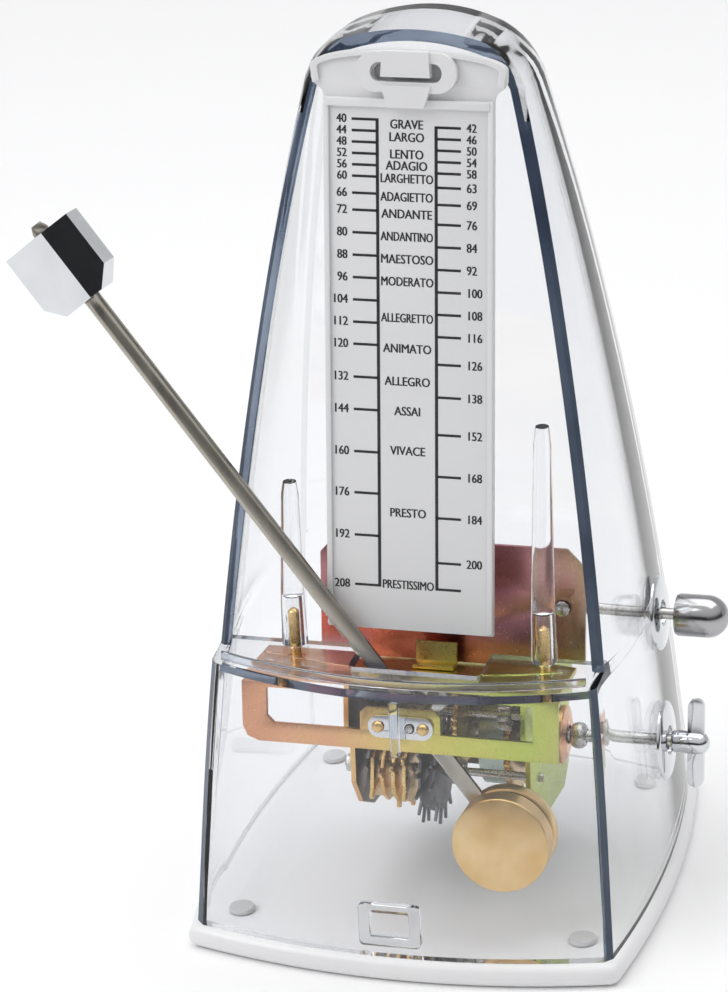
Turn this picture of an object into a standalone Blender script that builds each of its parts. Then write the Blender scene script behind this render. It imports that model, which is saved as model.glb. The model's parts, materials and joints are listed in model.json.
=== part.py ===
"""Wind-up pyramid metronome in a clear case: one closed body per piece, in metres, +Z up, front facing -Y."""

import math

import bmesh
import bpy
from mathutils import Matrix, Vector
from mathutils.geometry import tessellate_polygon

for obj in list(bpy.data.objects):
    bpy.data.objects.remove(obj, do_unlink=True)

# Driving dimensions, in millimetres and degrees.
HEIGHT = 217.0          # underside of the base to the crown of the case
HALF = 51.0             # half the distance between the case's front corners at the base
WALL_FOOT = 6.0         # height at which the case's walls stand on the base
LEDGE = 71.5            # top of the front ledge
WALL = 2.6              # case wall thickness
GAP = 0.3               # clearance between pieces that touch
TILT = 8.0              # the movement and its pendulum lean back by this much
PIVOT = (2.5, -34.7, 58.6)   # pendulum arbor, in the world
REST = 38.5             # the pendulum is stopped this far to the left
ROD_TOP = 146.3         # pivot to the rod's tip
BOB_AT, BOB_R = 34.8, 11.6
WEIGHT_AT = 134.2       # pivot to the middle of the tempo weight
WINDING = (41.2, -15.4)      # (back, up) of the barrel's arbor from the pivot
ESCAPE = (18.5, -18.8)
SELECT = (44.9, 15.8)
GREAT_T, THIRD_PINION_T, MODULE_1 = 40, 8, 0.75
THIRD_T, ESCAPE_PINION_T, MODULE_2 = 40, 8, 0.60
ESCAPE_R, ESCAPE_T = 13.2, 15
CAM_XS = (-14.1, -11.4, -8.7, -6.0)
FLANGES = ((-18.4, -17.2), (24.6, 25.8))     # the chassis's side plates
TOP = (7.2, 8.4)        # the chassis's top plate

# The third arbor sits where both gear pairs reach it.
C1 = MODULE_1 * (GREAT_T + THIRD_PINION_T) / 2
C2 = MODULE_2 * (THIRD_T + ESCAPE_PINION_T) / 2
SPAN = math.dist(WINDING, ESCAPE)
ALONG = (SPAN ** 2 + C2 ** 2 - C1 ** 2) / (2 * SPAN)
RISE = math.sqrt(C2 ** 2 - ALONG ** 2)
UX, UZ = (WINDING[0] - ESCAPE[0]) / SPAN, (WINDING[1] - ESCAPE[1]) / SPAN
THIRD = (ESCAPE[0] + ALONG * UX - RISE * UZ, ESCAPE[1] + ALONG * UZ + RISE * UX)

COLOURS = {
    "clear": (0.86, 0.9, 0.94, 0.3), "white": (0.86, 0.86, 0.85, 1), "chromate": (0.72, 0.66, 0.36, 1),
    "rose": (0.68, 0.4, 0.36, 1), "chrome": (0.8, 0.81, 0.82, 1), "steel": (0.52, 0.52, 0.51, 1),
    "brass": (0.8, 0.58, 0.24, 1), "dark": (0.17, 0.17, 0.18, 1), "copper": (0.75, 0.42, 0.28, 1),
    "zinc": (0.55, 0.62, 0.55, 1), "rubber": (0.7, 0.7, 0.7, 1),
}

frame = bpy.data.objects.new("movement_frame", None)
bpy.context.scene.collection.objects.link(frame)
frame.location = Vector(PIVOT) * 0.001
frame.rotation_euler = (math.radians(-TILT), 0, 0)
swing = bpy.data.objects.new("pendulum_frame", None)
bpy.context.scene.collection.objects.link(swing)
swing.parent = frame
swing.rotation_euler = (0, math.radians(-REST), 0)


def rounded(x0, x1, z0, z1, r, steps=4):
    """A rectangle with rounded corners, anticlockwise."""
    points = []
    for cx, cz, start in ((x1 - r, z0 + r, -90), (x1 - r, z1 - r, 0), (x0 + r, z1 - r, 90), (x0 + r, z0 + r, 180)):
        for k in range(steps + 1):
            a = math.radians(start + 90 * k / steps)
            points.append((cx + r * math.cos(a), cz + r * math.sin(a)))
    return points


def circle(cx, cz, r, n=24, start=0.0):
    return [(cx + r * math.cos(start + 2 * math.pi * k / n), cz + r * math.sin(start + 2 * math.pi * k / n))
            for k in range(n)]


def place(axis, u, v, a):
    return {"x": (a, u, v), "y": (u, a, v), "z": (u, v, a)}[axis]


def plate(outline, a0, a1, axis="y", holes=()):
    """A flat plate from a0 to a1 along the axis, with holes right through it."""
    loops = [outline, *holes]
    flat = [[Vector((u, v, 0)) for u, v in loop] for loop in loops]
    verts = [place(axis, u, v, a) for a in (a0, a1) for loop in loops for u, v in loop]
    count = sum(map(len, loops))
    faces = []
    for tri in tessellate_polygon(flat):
        faces += [tuple(tri), tuple(k + count for k in reversed(tri))]
    base = 0
    for loop in loops:
        for k in range(len(loop)):
            i, j = base + k, base + (k + 1) % len(loop)
            faces.append((i, j, j + count, i + count))
        base += len(loop)
    return verts, faces


def turned(profile, n=32, axis="x", at=(0.0, 0.0)):
    """A turned piece: (radius, place along the axis) points. A radius of 0 closes an end, and a loop has none."""
    verts, faces, rings = [], [], []
    for r, a in profile:
        if r == 0:
            rings.append([len(verts)] * n)
            verts.append(place(axis, at[0], at[1], a))
        else:
            rings.append(list(range(len(verts), len(verts) + n)))
            for u, v in circle(at[0], at[1], r, n):
                verts.append(place(axis, u, v, a))
    pairs = list(zip(rings, rings[1:]))
    if profile[0][0] and profile[-1][0]:
        pairs.append((rings[-1], rings[0]))
    for low, high in pairs:
        for k in range(n):
            face = [low[k], low[(k + 1) % n], high[(k + 1) % n], high[k]]
            face = list(dict.fromkeys(face))
            if len(face) > 2:
                faces.append(face)
    return verts, faces


def box(x0, x1, y0, y1, z0, z1):
    return plate([(x0, z0), (x1, z0), (x1, z1), (x0, z1)], y0, y1)


def raw(shape):
    """A hidden helper object in millimetres."""
    mesh = bpy.data.meshes.new("helper")
    mesh.from_pydata([tuple(v) for v in shape[0]], [], shape[1])
    work = bmesh.new()
    work.from_mesh(mesh)
    bmesh.ops.recalc_face_normals(work, faces=work.faces)
    bmesh.ops.triangulate(work, faces=work.faces)
    work.to_mesh(mesh)
    work.free()
    helper = bpy.data.objects.new("helper", mesh)
    bpy.context.scene.collection.objects.link(helper)
    helper.hide_render, helper.display_type = True, "WIRE"
    return helper


def carve(shape, add=(), cut=()):
    """The first shape with others joined to it and then others cut away."""
    body = raw(shape)
    helpers = [body]
    for operation, shapes in (("UNION", add), ("DIFFERENCE", cut)):
        for other in shapes:
            tool = raw(other)
            helpers.append(tool)
            step = body.modifiers.new("step", "BOOLEAN")
            step.operation, step.object, step.solver = operation, tool, "EXACT"
    bpy.context.view_layer.update()
    graph = bpy.context.evaluated_depsgraph_get()
    mesh = body.evaluated_get(graph).to_mesh()
    result = [tuple(v.co) for v in mesh.vertices], [tuple(p.vertices) for p in mesh.polygons]
    for helper in helpers:
        bpy.data.objects.remove(helper, do_unlink=True)
    return result


def node(name, shape, colour, parent=frame, origin=(0, 0, 0), rough=0.4, metal=1.0, smooth=False):
    """One named piece, its origin at the given place in its parent's frame."""
    mesh = bpy.data.meshes.new(name)
    shift = Vector(origin)
    mesh.from_pydata([(Vector(v) - shift) * 0.001 for v in shape[0]], [], shape[1])
    work = bmesh.new()
    work.from_mesh(mesh)
    bmesh.ops.recalc_face_normals(work, faces=work.faces)
    work.to_mesh(mesh)
    work.free()
    piece = bpy.data.objects.new(name, mesh)
    bpy.context.scene.collection.objects.link(piece)
    piece.parent, piece.location = parent, shift * 0.001
    material = bpy.data.materials.new(name)
    material.use_nodes = True
    shader = material.node_tree.nodes["Principled BSDF"]
    red, green, blue, alpha = COLOURS[colour]
    shader.inputs["Base Color"].default_value = (red, green, blue, 1)
    shader.inputs["Alpha"].default_value = alpha
    shader.inputs["Roughness"].default_value = rough
    shader.inputs["Metallic"].default_value = metal
    mesh.materials.append(material)
    if smooth:
        mesh.shade_smooth()
    return piece


# ---- case -------------------------------------------------------------------------------------------------

def half_width(z):
    t = (z - WALL_FOOT) / 100
    return HALF - 3.85 * t - 4.4 * t * t


def low_front(z):
    return -49.35 + 10.86 * (z - WALL_FOOT) / (LEDGE - WALL_FOOT)


def rim_front(z):
    return -30.1 + 19.44 * (z - LEDGE) / 100


def back(z):
    return 49.35 - 33.35 * (z - WALL_FOOT) / (HEIGHT - WALL_FOOT)


def front_bow(z):
    return 7.2 + 2.0 * (z - WALL_FOOT) / (LEDGE - WALL_FOOT)


def ring(z, width, front, rear, bow_f, bow_s, bow_b, drop=0.0, reach=0.0, n=8):
    """One level of a case whose four sides bow outwards. reach carries the sides straight on past the front."""
    points = []
    nose = width - 0.02 * reach
    for k in range(n):
        s = 2 * k / n - 1
        points.append((s * nose, front - reach - bow_f * (1 - s * s)))
    side = [2 * k / n - 1 for k in range(1, n)]
    if reach:
        side = [2 * k / (n - 1) - 1 for k in range(n - 1)]
    side = [(width + bow_s * (1 - s * s), (front + rear) / 2 + s * (rear - front) / 2) for s in side]
    points += [(nose, front - reach), *side]
    for k in range(n):
        s = 2 * k / n - 1
        points.append((-s * width, rear + bow_b * (1 - s * s)))
    points += [(-width, rear), *((-x, y) for x, y in reversed(side))]
    return [(x, y, z - drop * min(1.0, (x / width) ** 2)) for x, y in points]


def loft(rings, n=8):
    verts = [p for level in rings for p in level]
    size = 4 * n
    faces = []
    for r in range(len(rings) - 1):
        for k in range(size):
            i, j = r * size + k, r * size + (k + 1) % size
            faces.append((i, j, j + size, i + size))
    for first in (0, (len(rings) - 1) * size):
        for k in range(n):
            faces.append(tuple(first + i for i in (k, k + 1, 3 * n - k - 1, 3 * n - k)))
        faces.append(tuple(first + k for k in range(n, 2 * n + 1)))
        faces.append(tuple(first + k % size for k in range(3 * n, 4 * n + 1)))
    return verts, faces


def side_bow(z):
    return 4.3 * (1 - 0.45 * z / HEIGHT)


def back_bow(z):
    return 6.0 * (1 - 0.5 * z / HEIGHT)


def case_level(z, front, inset=0.0, bow_f=0.0, drop=0.0, reach=0.0):
    return ring(z, half_width(z) - inset, front, back(z) - inset, bow_f, side_bow(z), back_bow(z), drop, reach)


UPPER = (105, 140, 175, 200)
outer = [case_level(z, low_front(z), bow_f=front_bow(z)) for z in (WALL_FOOT, 38, LEDGE)]
outer += [case_level(z, rim_front(z)) for z in (LEDGE + 0.4, *UPPER)] + [case_level(HEIGHT, rim_front(HEIGHT), drop=5)]
inner = [case_level(z, low_front(z) + WALL, WALL, front_bow(z)) for z in (WALL_FOOT - 3, 38, LEDGE - 3)]
inner += [case_level(z, -24.0, WALL) for z in (LEDGE - 2.6, LEDGE + 0.2)]
inner += [case_level(z, rim_front(z), WALL, reach=30) for z in (LEDGE + 0.6, *UPPER)]
inner += [case_level(HEIGHT - WALL, rim_front(HEIGHT), WALL, drop=5, reach=30)]
BOSS_Y = -25.1


def pillar(x, top, n=12):
    """A screw pillar that thins upwards, and above its bore leans back to clear the swinging rod and weight."""
    verts = []
    for z in (LEDGE - 1, 84, top):
        r = 3.2 - 1.2 * (z - LEDGE + 1) / (top - LEDGE + 1)
        lean = 0.113 * max(0.0, z - 84)
        verts += [(u, v, z) for u, v in circle(x, BOSS_Y + lean, r, n)]
    faces = [(n * r + k, n * r + (k + 1) % n, n * (r + 1) + (k + 1) % n, n * (r + 1) + k) for r in (0, 1) for k in range(n)]
    return verts, faces + [tuple(range(n)), tuple(range(2 * n, 3 * n))]


bosses = [pillar(x, top) for x, top in ((-29.5, 112), (31.5, 129))]
bores = [turned([(0, LEDGE - 6), (1.7, LEDGE - 6), (1.7, 84), (0, 84)], 12, "z", (x, BOSS_Y)) for x in (-29.5, 31.5)]


def world(back_up):
    """World (y, z) of a place given as (back, up) from the pivot."""
    a, (y, z) = math.radians(TILT), back_up
    return PIVOT[1] + y * math.cos(a) + z * math.sin(a), PIVOT[2] - y * math.sin(a) + z * math.cos(a)


def drill(at, r):
    return turned([(0, 40), (r, 40), (r, 62), (0, 62)], 14, "x", at)


KEY, KNOB = world(WINDING), world(SELECT)
shell = carve(loft(outer), cut=[loft(inner)])
shell = carve(shell, add=bosses)
shell = carve(shell, cut=bores + [box(-13.5, 18.5, -36.2, -20, LEDGE - 5, LEDGE + 3), drill(KEY, 3.0), drill(KNOB, 2.4)])
node("case_shell", shell, "clear", None, rough=0.08, metal=0)

edge = ring(0, 52.8, -51.0, 51.0, 7.4, 4.6, 6.4)
levels = [(0.0, 1.2), (1.2, 0.0), (4.5, 0.0), (5.7, 1.0)]
slab = [[(x * (1 - inset / 58), y * (1 - inset / 58), z) for x, y, _ in edge] for z, inset in levels]
feet = [(-42, -40), (42, -40), (42, 40), (-42, 40)]
node("base_plate", carve(loft(slab), cut=[turned([(0, -2), (5.2, -2), (5.2, 1.5), (2.4, 1.5), (2.4, 8), (0, 8)], 10, "z", at) for at in feet]),
     "white", None, rough=0.35, metal=0)
for k, at in enumerate(feet):
    foot = [(0, 0), (4.6, 0), (4.8, 0.3), (4.8, 1.2), (2.0, 1.2), (2.0, 6.0), (3.2, 6.0), (3.0, 7.0), (0, 7.2)]
    node(f"foot_{k + 1}", turned(foot, 10, "z", at), "rubber", None, rough=0.6, metal=0)
catch = carve(box(-9.5, 5.5, -51.4, -49.6, 6.0, 17.2), cut=[box(-6.8, 2.8, -53, -48, 8.4, 15.2)])
node("front_catch", catch, "clear", None, rough=0.1, metal=0)

# ---- scale ------------------------------------------------------------------------------------------------
# Its own frame leans back with the opening: x across, z up the plate from its lower edge, front face at y 0.

card = bpy.data.objects.new("card_frame", None)
bpy.context.scene.collection.objects.link(card)
card.location = (0.0, -0.0282, 0.0783)
card.rotation_euler = (math.radians(-9.1), 0, 0)
head = [(-20, 0), (20, 0), (20, 126.5), (23, 129.5), (23, 133)]
head += [(23 * math.cos(a), 133 + 4.4 * math.sin(a)) for a in (math.pi * k / 10 for k in range(1, 10))]
head += [(-23, 133), (-23, 129.5), (-20, 126.5)]
node("scale_plate", plate(head, 0.0, 1.6, holes=[rounded(-8.2, 8.2, 129.6, 133.8, 2.0)]), "white", card,
     rough=0.3, metal=0)
latch = carve(plate(rounded(-11.8, 11.8, 127.6, 135.6, 3.9, 4), -2.4, -GAP, holes=[rounded(-8.4, 8.4, 129.5, 133.9, 2.1, 3)]),
              add=[box(-5.4, 5.4, -2.0, -0.5, 124.6, 135.0)], cut=[box(-1.6, 1.6, -4, 1, 122, 129)])
node("rod_latch", latch, "white", card, rough=0.25, metal=0)

# ---- chassis ----------------------------------------------------------------------------------------------

bar = [(-40.8, 7.8), (-40.8, -2.5), (-39.7, -5.2), (-37, -6.3), (35.1, -6.3), (35.1, 7.8), (29.1, 7.8), (29.1, -1.6),
       (7.1, -1.6), (7.1, 2.7), (5.7, 4.1), (-10.9, 4.1), (-12.3, 2.7), (-12.3, -1.6), (-33.2, -1.6), (-34.9, 0.1),
       (-34.9, 7.8)]
front = plate(bar, -5.2, -4.0, holes=[circle(0, 0, 1.6, 16)])
top = [(-40.8, -5.2), (35.1, -5.2), (35.1, 15), (31, 16), (25.8, 16), (25.8, 52), (-18.4, 52), (-18.4, 15), (-40.8, 15)]
deck = plate(top, *TOP, axis="z", holes=[rounded(-16.6, -1.4, 35, 50, 1.5, 2), circle(-32, 8.6, 2.4, 16),
                                         circle(29, 8.6, 2.4, 16), rounded(-15, 15, -3.6, 3.0, 1.0, 2),
                                         rounded(12, 20, 20, 24, 1.0, 2)])
side = [(2, 7.8), (52, 7.8), (52, -26), (47, -31), (24, -31), (14, -27), (8, -20), (7, -9), (2, -4)]
bearings = [circle(*WINDING, 2.4, 12), circle(*ESCAPE, 1.3, 10), circle(*THIRD, 1.2, 10)]
flanges = [plate(side, *xs, axis="x", holes=bearings) for xs in FLANGES]
rear_lug = plate([(-6, 7.8), (4, 7.8), (4, -2.6), (2.4, -4), (-4, -4), (-6, -2.6)], 24.0, 25.2, holes=[circle(0, 0, 1.3, 16)])
node("chassis", carve(deck, add=[front, *flanges, rear_lug]), "chromate")
pane = [(-28.5, 8.7), (36.5, 8.7), (36.5, 34), (32, 38.5), (-24.5, 38.5), (-28.5, 34)]
node("bell_plate", plate(pane, 18.0, 19.2, holes=[circle(-10, 36, 1.7, 16),
                                                  circle(31, 24, 1.5, 12)]), "rose", rough=0.35)
node("plate_rivet", turned([(0, 16.9), (1.9, 17.2), (1.9, 17.7), (1.2, 17.7), (1.2, 19.5), (2.0, 19.5), (2.0, 20.1),
                            (0, 20.1)], 10, "y", (31, 24)), "steel")
node("deck_bracket", carve(box(-4, 6, 14.5, 15.5, 8.7, 14.5), add=[box(-4, 6, 11, 15.5, 8.7, 9.7)]), "chromate")
teeth = [(30, 10), (36, 10), (36, 13), (34.8, 13.8), (36, 14.6), (34.8, 15.6), (36, 16.6), (34.6, 18), (33, 19.2),
         (30, 19.2)]
node("selector_detent", plate(teeth, 20.4, 21.2), "steel")
for k, x in enumerate((-29.5, 31.5)):
    screw = [(0, 60.6), (2.3, 60.9), (2.7, 61.8), (2.7, 63.2), (1.35, 63.2), (1.35, 80), (0, 81)]
    node(f"case_screw_{k + 1}", turned(screw, 12, "z", (x, BOSS_Y)), "brass", None, rough=0.3)

hump = rounded(-10.0, 5.6, -2.7, 2.7, 2.6, 4)
node("bearing_plate", plate(hump, -6.5, -5.5, holes=[circle(0, 0, 1.25, 16), circle(-7.6, 0, 1.0, 12),
                                                     circle(3.2, 0, 1.0, 12)]), "chrome", rough=0.15)
for k, x in enumerate((-7.6, 3.2)):
    rivet = [(0, -7.5), (1.0, -7.4), (1.5, -6.8), (0.7, -6.8), (0.7, -5.6), (0, -5.6)]
    node(f"bearing_rivet_{k + 1}", turned(rivet, 12, "y", (x, 0)), "brass", rough=0.25)

# ---- pendulum, drawn upright in its own frame: x across, z up the rod ---------------------------------------

node("pendulum_arbor", turned([(0, -7.2), (0.9, -7.2), (0.9, 26), (0, 26)], 16, "y"), "steel", swing, rough=0.25)
node("pallet_cam", plate([(-1.9, -3.4), (1.9, -3.4), (2.6, 1.2), (1.4, 2.4), (-1.4, 2.4), (-2.6, 1.2)], 16.5, 20.5,
                         holes=[circle(0, 0, 1.2, 12)]), "steel", swing, rough=0.2)
strip = [(-2.0, -40.5), (2.0, -40.5), (2.0, 3.4), (2.1, 144.6), (1.2, ROD_TOP), (-1.2, ROD_TOP), (-2.1, 144.6)]
left_edge = []
for k in range(3):
    z = 24 - 6 * k
    left_edge += [(-2.1, z + 2.0), (-1.5, z + 1.6), (-1.5, z + 0.4), (-2.1, z)]
strip += left_edge
node("pendulum_rod", plate(strip, -0.5, 0.5, holes=[circle(0, 0, 1.2, 16), circle(0, -BOB_AT, 1.9, 16),
                                                   circle(0, 143.2, 0.8, 10)]), "steel", swing, rough=0.25)
disc = [(0, -6.8), (BOB_R - 0.4, -6.8), (BOB_R, -6.4), (BOB_R, -1.2), (BOB_R - 0.4, -0.8), (0, -0.8)]
node("bob_front", turned(disc, 32, "y", (0, -BOB_AT)), "brass", swing, rough=0.35, smooth=False)
disc = [(2.4, 0.8), (BOB_R - 0.4, 0.8), (BOB_R, 1.2), (BOB_R, 4.4), (BOB_R - 0.4, 4.8), (2.4, 4.8)]
node("bob_rear", turned(disc, 32, "y", (0, -BOB_AT)), "brass", swing, rough=0.35)
node("bob_rivet", turned([(0, -0.5), (1.5, -0.5), (1.5, 5.1), (3.4, 5.1), (3.0, 5.9), (0, 6.1)], 20, "y", (0, -BOB_AT)),
     "steel", swing, rough=0.3)
w = WEIGHT_AT
five = [(-5.8, w - 9.4), (5.8, w - 9.4), (9.7, w - 5.2), (9.7, w + 9.4), (-9.7, w + 9.4), (-9.7, w - 5.2)]
cavity = [(-5.3, w - 8.6), (5.3, w - 8.6), (8.9, w - 4.7), (8.9, w + 8.6), (-8.9, w + 8.6), (-8.9, w - 4.7)]
block = carve(plate(five, -6.2, 2.4), cut=[plate(cavity, -5.4, 4), box(-2.5, 2.5, -0.9, 0.9, w - 12, w + 12)])
node("tempo_weight", block, "chrome", swing, (0, 0, w), rough=0.06)
spring = plate([(-8.5, w - 2), (8.5, w - 2), (8.5, w + 2), (-8.5, w + 2)], 0.9, 1.3)
node("weight_spring", spring, "steel", swing, (0, 0, w), rough=0.2)

# ---- winding and barrel -----------------------------------------------------------------------------------

B = WINDING
node("barrel_drum", turned([(2.6, 8.0), (13.4, 8.0), (13.4, 14.6), (12.6, 14.6), (12.6, 9.0), (2.6, 9.0)], 28, "x", B),
     "zinc", origin=(0, *B), rough=0.35)


def gear(at, teeth, module, bore, a0, a1, phase=0.0, width=0.40):
    """A spur gear with involute flanks, thinned for backlash, and a round bore."""
    pitch = module * teeth / 2
    base, tip, root = pitch * math.cos(math.radians(20)), pitch + 0.85 * module, pitch - 1.2 * module
    low = max(base, root + 0.1)

    def spread(r):
        if r <= base:
            r = base
        a = math.acos(base / r)
        return math.tan(a) - a
    half = width * math.pi / teeth
    points = []
    for k in range(teeth):
        middle = phase + 2 * math.pi * k / teeth
        radii = [root, tip] if teeth > 20 else [root, low, (low + tip) / 2, tip]
        flank = [(r, half + spread(pitch) - spread(r)) for r in radii]
        points += [(at[0] + r * math.cos(middle - s), at[1] + r * math.sin(middle - s)) for r, s in flank]
        points += [(at[0] + r * math.cos(middle + s), at[1] + r * math.sin(middle + s)) for r, s in reversed(flank)]
    return plate(points, a0, a1, "x", holes=[circle(*at, bore, 12)] if bore else ())


def towards(a, b):
    return math.atan2(b[1] - a[1], b[0] - a[0])


great_phase = towards(WINDING, THIRD)
third_pinion_phase = towards(THIRD, WINDING) + math.pi / THIRD_PINION_T
third_phase = towards(THIRD, ESCAPE)
escape_pinion_phase = towards(ESCAPE, THIRD) + math.pi / ESCAPE_PINION_T
node("great_wheel", gear(B, GREAT_T, MODULE_1, 2.6, 14.9, 16.3, great_phase), "brass", origin=(0, *B), rough=0.3)

turns, coil = 5.0, []
for k in range(61):
    a = 2 * math.pi * turns * k / 60
    coil.append((a, 4.4 + 7.4 * k / 60))
ribbon = [(B[0] + (r + 0.2) * math.cos(a), B[1] + (r + 0.2) * math.sin(a)) for a, r in coil]
ribbon += [(B[0] + (r - 0.2) * math.cos(a), B[1] + (r - 0.2) * math.sin(a)) for a, r in reversed(coil)]
node("mainspring", plate(ribbon, 9.3, 14.3, "x"), "dark", origin=(0, *B), rough=0.3)
arbor = [(0, -19.6), (1.5, -19.6), (1.5, -16.9), (2.0, -16.9), (2.0, 26.6), (1.5, 26.6), (1.5, 58.6), (0, 58.6)]
node("winding_arbor", turned(arbor, 14, "x", B), "steel", origin=(0, *B), rough=0.25)
saw = []
for k in range(18):
    a = 2 * math.pi * k / 18
    saw += [(B[0] + 7.6 * math.cos(a), B[1] + 7.6 * math.sin(a)),
            (B[0] + 6.5 * math.cos(a + 0.02), B[1] + 6.5 * math.sin(a + 0.02))]
node("ratchet_wheel", plate(saw, 18.0, 19.4, "x", holes=[circle(*B, 2.3, 20)]), "steel", origin=(0, *B), rough=0.3)
C = (B[0] - 9.0, B[1] + 8.5)
pawl = [(C[0] - 2.0, C[1] - 1.2), (C[0] + 0.4, C[1] - 2.2), (C[0] + 4.1, C[1] - 2.3), (C[0] + 4.0, C[1] - 0.9),
        (C[0] + 1.6, C[1] + 1.8), (C[0] - 1.2, C[1] + 1.9)]
node("click", plate(pawl, 18.1, 19.3, "x", holes=[circle(*C, 0.9, 12)]), "steel", origin=(0, *C), rough=0.3)
node("click_pin", turned([(0, 17.0), (1.5, 17.0), (1.5, 17.7), (0.6, 17.7), (0.6, 24.3), (0, 24.3)], 12, "x", C), "steel")
node("winding_bushing", turned([(2.4, 26.1), (7.2, 26.1), (7.2, 27.4), (4.6, 28.2), (2.4, 28.2)], 20, "x", B), "copper",
     rough=0.25)
ball = [(1.8, 28.6), (2.5, 28.7), (3.1, 29.6), (3.3, 30.6), (3.1, 31.6), (2.5, 32.5), (1.8, 32.6)]
node("shaft_collar", turned(ball, 14, "x", B), "steel", origin=(0, *B), rough=0.15)


def escutcheon(name, at, x, lean, bore, r):
    """A turned ring that lies flat against the leaning wall."""
    profile = [(bore, x), (r, x), (r + 0.2, x + 0.4), (r - 0.4, x + 1.1), (bore, x + 1.4)]
    ring_piece = node(name, turned(profile, 24, "x", at), "chrome", None, (x, *at), rough=0.1)
    ring_piece.rotation_euler = (0, math.radians(-lean), 0)


escutcheon("key_escutcheon", KEY, 53.9, 4.3, 3.6, 9.5)
escutcheon("selector_escutcheon", KNOB, 51.2, 5.8, 3.2, 8.9)
hub = turned([(0, 53.2), (3.2, 53.2), (3.2, 61.2), (2.4, 62.3), (0, 62.6)], 24, "x", B)
blade = [(54.4, -9.6), (56.4, -11.2), (59.8, -11.2), (61.4, -9.6), (61.0, -2.0), (61.0, 2.0), (61.4, 9.6),
         (59.8, 11.2), (56.4, 11.2), (54.4, 9.6), (54.0, 2.0), (54.0, -2.0)]
blade = plate([(x, B[1] + z) for x, z in blade], B[0] - 0.9, B[0] + 0.9, "y")
bore = turned([(0, 50), (1.85, 50), (1.85, 59.0), (0, 59.0)], 20, "x", B)
node("winding_key", carve(hub, add=[blade], cut=[bore]), "chrome", origin=(0, *B), rough=0.1)

# ---- going train ------------------------------------------------------------------------------------------

T, E = THIRD, ESCAPE
node("third_arbor", turned([(0, -19.4), (0.9, -19.4), (0.9, 26.8), (0, 26.8)], 16, "x", T), "steel", origin=(0, *T))
node("third_pinion", gear(T, THIRD_PINION_T, MODULE_1, 1.2, 14.2, 17.2, third_pinion_phase), "steel", origin=(0, *T))
node("third_wheel", gear(T, THIRD_T, MODULE_2, 1.2, 5.2, 6.2, third_phase), "brass", origin=(0, *T), rough=0.3)
node("escape_arbor", turned([(0, -19.2), (1.0, -19.2), (1.0, 26.8), (0, 26.8)], 16, "x", E), "steel", origin=(0, *E))
node("escape_pinion", gear(E, ESCAPE_PINION_T, MODULE_2, 1.25, 4.4, 7.4, escape_pinion_phase), "steel",
     origin=(0, *E))


def escape_wheel(phase):
    points = []
    for k in range(ESCAPE_T):
        a = phase + 2 * math.pi * k / ESCAPE_T
        for r, s in ((9.6, -0.07), (ESCAPE_R, -0.035), (ESCAPE_R, 0.015), (9.6, 0.06)):
            points.append((E[0] + r * math.cos(a + s), E[1] + r * math.sin(a + s)))
    return points


for name, x, phase in (("escape_wheel_left", -1.8, 0.05), ("escape_wheel_right", 1.8, 0.05 + math.pi / ESCAPE_T)):
    node(name, plate(escape_wheel(phase), x - 0.35, x + 0.35, "x", holes=[circle(*E, 1.3, 12)]), "dark",
         origin=(0, *E), rough=0.35)
for k, (x, lobes) in enumerate(zip(CAM_XS, (2, 3, 4, 6))):
    points = []
    for j in range(lobes):
        a = 0.6 + 0.35 * k + 2 * math.pi * j / lobes
        step = 2 * math.pi / lobes
        points += [(E[0] + r * math.cos(a + s), E[1] + r * math.sin(a + s)) for r, s in
                   [(8.4, -0.16), (10.0, -0.05), (10.0, 0.06)] + [(8.4, 0.12 + (step - 0.3) * i / 3) for i in range(4)]]
    node(f"bell_cam_{k + 1}", plate(points, x - 0.45, x + 0.45, "x", holes=[circle(*E, 1.3, 12)]), "brass",
         origin=(0, *E), rough=0.3)
node("arbor_nut", turned([(1.3, -22.4), (2.1, -22.4), (2.3, -22.0), (2.3, -19.0), (2.1, -18.7), (1.3, -18.7)], 6, "x", E),
     "steel", origin=(0, *E), rough=0.25)

# ---- bell and its selector --------------------------------------------------------------------------------

S = SELECT
node("selector_rod", turned([(0, -20), (1.4, -20), (1.4, 58.0), (0, 58.0)], 16, "x", S), "steel", origin=(0, *S))
bullet = [(1.7, 53.2), (2.9, 53.2), (3.3, 54.0), (4.6, 55.4), (5.2, 58.0), (5.2, 61.0), (4.6, 63.4), (3.0, 65.4),
          (0, 66.2), (0, 59.6), (1.7, 59.6)]
node("selector_knob", turned(bullet, 20, "x", S), "chrome", origin=(0, *S), rough=0.08)
hangers = [plate([(S[0] - 3.4, TOP[1] + GAP), (S[0] + 3.4, TOP[1] + GAP), (S[0] + 3.4, S[1] + 2), (S[0] + 2, S[1] + 3.4),
                  (S[0] - 2, S[1] + 3.4), (S[0] - 3.4, S[1] + 2)], x, x + 1.2, "x", holes=[circle(*S, 1.7, 16)])
           for x in (-18.2, 23.4)]
node("selector_bearing_left", hangers[0], "chromate")
node("selector_bearing_right", hangers[1], "chromate")
lever = [(S[0] - 2.2, S[1] - 2.2), (33.2, -7.6), (28.6, -19.0), (29.0, -20.4), (30.4, -20.6), (35.8, -9.0),
         (S[0] + 1.8, S[1] - 2.8), (S[0] + 2.9, S[1]), (S[0] + 0.6, 29.5), (S[0] - 2.6, 29.5), (S[0] - 2.6, 22.0)]
LEVER_X = CAM_XS[1]
node("hammer_lever", plate(lever, LEVER_X - 0.5, LEVER_X + 0.5, "x", holes=[circle(*S, 1.7, 16)]), "steel",
     origin=(0, *S), rough=0.3)
node("hammer_head", turned([(0, 35.6), (1.8, 35.8), (2.6, 36.6), (2.6, 41.9), (0, 41.9)], 16, "y", (LEVER_X, 26.6)),
     "brass", origin=(0, *S), rough=0.3)
DOME = (-10, 36)
bell = []
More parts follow.
